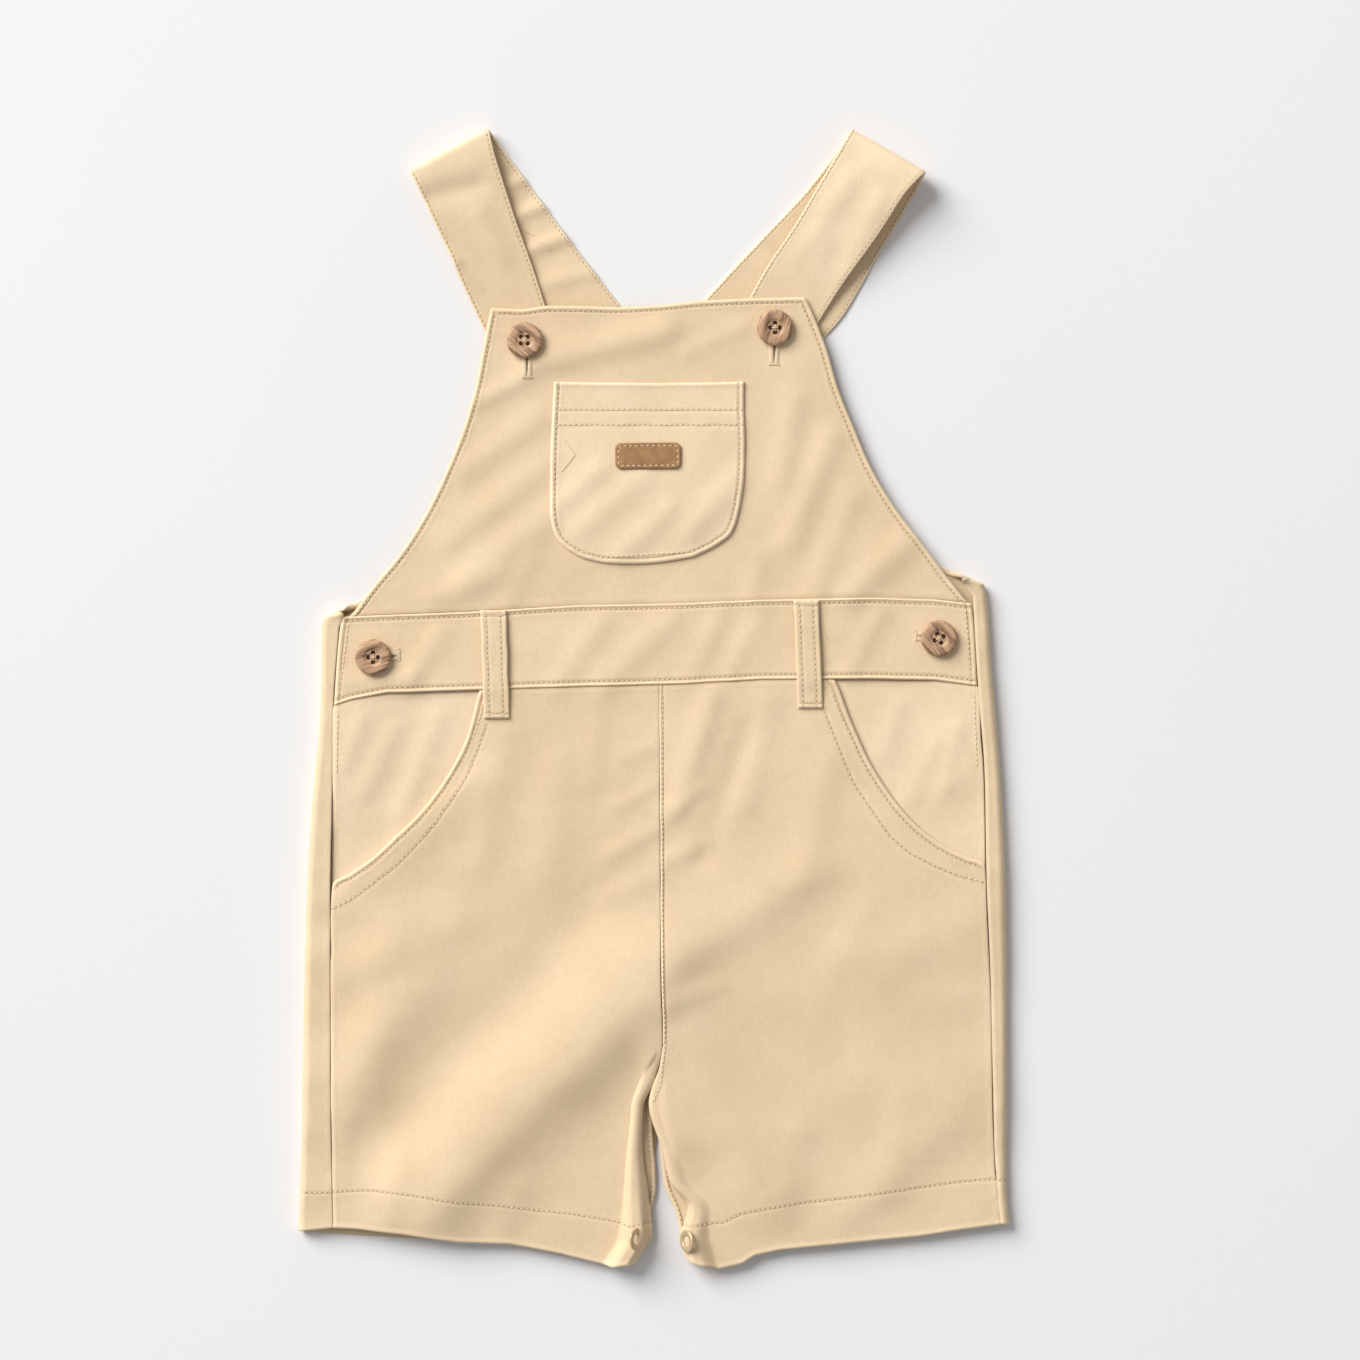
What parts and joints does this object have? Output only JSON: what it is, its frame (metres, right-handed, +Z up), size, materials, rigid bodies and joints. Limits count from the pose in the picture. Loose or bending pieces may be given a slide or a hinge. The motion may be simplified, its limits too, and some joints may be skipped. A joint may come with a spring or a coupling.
{
  "type": "infant shortalls laid flat",
  "caption": "Infant short dungarees in cream cotton twill lying flat: bib with patch pocket, shoulder straps folded over and buttoned, belt loops, curved hip pockets and snap inside legs",
  "frame": {"origin": "centre of the garment's box in plan, at the level of the table it lies on", "axes": "+X to the viewer's right, +Y from the hems towards the shoulder straps, +Z up off the table"},
  "size_m": [0.2966, 0.4748, 0.0123],
  "materials": {
    "twill": "fine cream-beige washed cotton twill, matt, folded and topstitched in thread of the same colour",
    "label_leather": "light tan vegetable-tanned leather, bare, stitched round the edge",
    "button_wood": "mid-brown wood with dark grain, satin, four holes with thread of the cloth's colour",
    "snap_metal": "ring snaps enamelled in the cloth's colour"
  },
  "bodies": {
    "root": {"back_left": "twill", "back_right": "twill", "strap_left": "twill", "strap_right": "twill", "front_leg_left": "twill", "front_leg_right": "twill", "pocket_facing_left": "twill", "pocket_facing_right": "twill", "waistband_front": "twill", "bib_front": "twill", "bib_pocket": "twill", "belt_loop_left": "twill", "belt_loop_right": "twill", "snap_band_left": "twill", "snap_band_right": "twill", "label": "label_leather", "button_bib_left": "button_wood", "button_bib_right": "button_wood", "button_side_left": "button_wood", "button_side_right": "button_wood", "snap_hem_left": "snap_metal", "snap_crotch": "snap_metal", "snap_hem_right": "snap_metal"}
  },
  "joints": []
}
